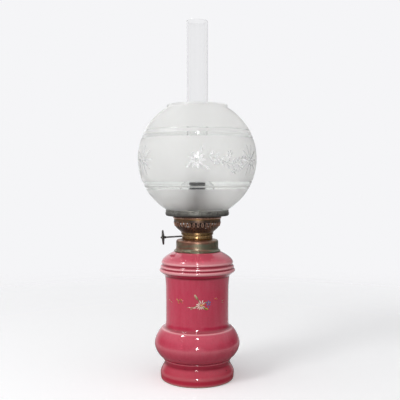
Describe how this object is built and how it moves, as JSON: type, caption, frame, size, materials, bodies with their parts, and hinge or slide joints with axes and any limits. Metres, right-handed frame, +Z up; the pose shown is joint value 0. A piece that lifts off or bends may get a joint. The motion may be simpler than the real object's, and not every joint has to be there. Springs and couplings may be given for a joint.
{
  "type": "oil table lamp",
  "caption": "Oil table lamp: moulded porcelain reservoir body, brass round-wick burner with pierced basket and knob, clear chimney and frosted ball shade.",
  "frame": {"origin": "centre of the foot ring, on the surface that the lamp stands on", "axes": "+Z up the lamp's axis to the chimney's top, -X towards the wick knob, -Y towards the viewer of the painted sprig"},
  "size_m": [0.157, 0.157, 0.4735],
  "materials": {
    "glazed_porcelain": "glossy rose-red glaze with a painted flower sprig",
    "plaster": "matt",
    "tarnished_brass": "tarnished, satin",
    "rubbed_brass": "rubbed bright on the high bands",
    "bronzed_brass": "dark bronzed patina",
    "plain_brass": "dull",
    "blackened_brass": "blackened, satin",
    "blackened_steel": "blackened, satin",
    "cotton_wick": "woven cotton",
    "frosted_glass": "acid-frosted with clear cut bands",
    "clear_glass": "clear, smooth"
  },
  "bodies": {
    "lamp_base": {"porcelain_body": "glazed_porcelain", "plaster_bed": "plaster", "collar_cap": "tarnished_brass", "collar_thread_ring": "plain_brass"},
    "burner": {"burner_waist": "rubbed_brass", "burner_screw_ring": "plain_brass", "burner_deck": "plain_brass", "burner_basket": "bronzed_brass", "basket_hoop": "bronzed_brass", "gallery_floor": "plain_brass", "chimney_gallery": "plain_brass", "outer_wick_tube": "plain_brass", "draught_tube": "plain_brass", "air_duct": "plain_brass", "wheel_housing": "plain_brass", "spindle_sleeve": "plain_brass"},
    "wick_winder": {"winder_spindle": "blackened_steel", "wick_wheels": "plain_brass", "knob_disc": "blackened_brass", "knob_rivet": "blackened_steel"},
    "wick": {"wick": "cotton_wick"},
    "shade_ring": {"shade_ring": "blackened_brass"},
    "ball_shade": {"ball_shade": "frosted_glass"},
    "chimney": {"chimney": "clear_glass"}
  },
  "joints": [
    {"name": "burner_lift", "type": "slide", "parent": "lamp_base", "child": "burner", "axis": [0, 0, 1], "range_m": [0, 0.15]},
    {"name": "winder_turn", "type": "hinge", "parent": "burner", "child": "wick_winder", "pos_m": [0, 0.01355, 0.18944], "axis": [-0.9981, 0, -0.061], "range_deg": [-180, 50]},
    {"name": "wick_slide", "type": "slide", "parent": "burner", "child": "wick", "axis": [0, 0, 1], "range_m": [-0.0102, 0.003]},
    {"name": "ring_lift", "type": "slide", "parent": "burner", "child": "shade_ring", "axis": [0, 0, 1], "range_m": [0, 0.04]},
    {"name": "shade_lift", "type": "slide", "parent": "shade_ring", "child": "ball_shade", "axis": [0, 0, 1], "range_m": [0, 0.26]},
    {"name": "chimney_lift", "type": "slide", "parent": "burner", "child": "chimney", "axis": [0, 0, 1], "range_m": [0, 0.16]}
  ],
  "couplings": [
    {"joint": "wick_slide", "follows": "winder_turn", "m_per_rad": 0.0032}
  ]
}
